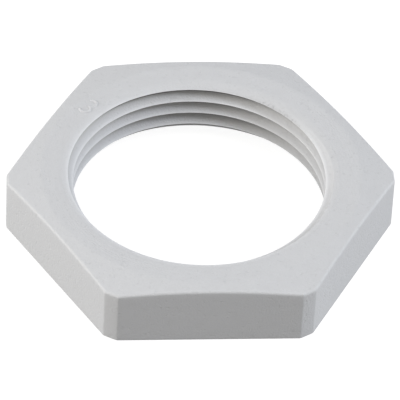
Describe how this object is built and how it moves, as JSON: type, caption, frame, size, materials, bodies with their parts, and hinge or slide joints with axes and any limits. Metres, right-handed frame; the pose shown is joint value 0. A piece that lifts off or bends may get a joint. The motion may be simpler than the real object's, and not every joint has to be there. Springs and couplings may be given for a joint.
{
  "type": "cable gland locknut",
  "caption": "Flat hexagonal plastic locknut with a large right-hand threaded bore, chamfered upper corners and a flat clamping face.",
  "frame": {"origin": "centre of the flat clamping face (underside), on the thread's axis", "axes": "+Z along the thread's axis, out of the chamfered upper face; two opposite flats face +Y and -Y, two corners point to +X and -X"},
  "size_m": [0.0408, 0.036, 0.007],
  "materials": {
    "polyamide": "satin as moulded"
  },
  "bodies": {
    "root": {"locknut": "polyamide"}
  },
  "joints": []
}
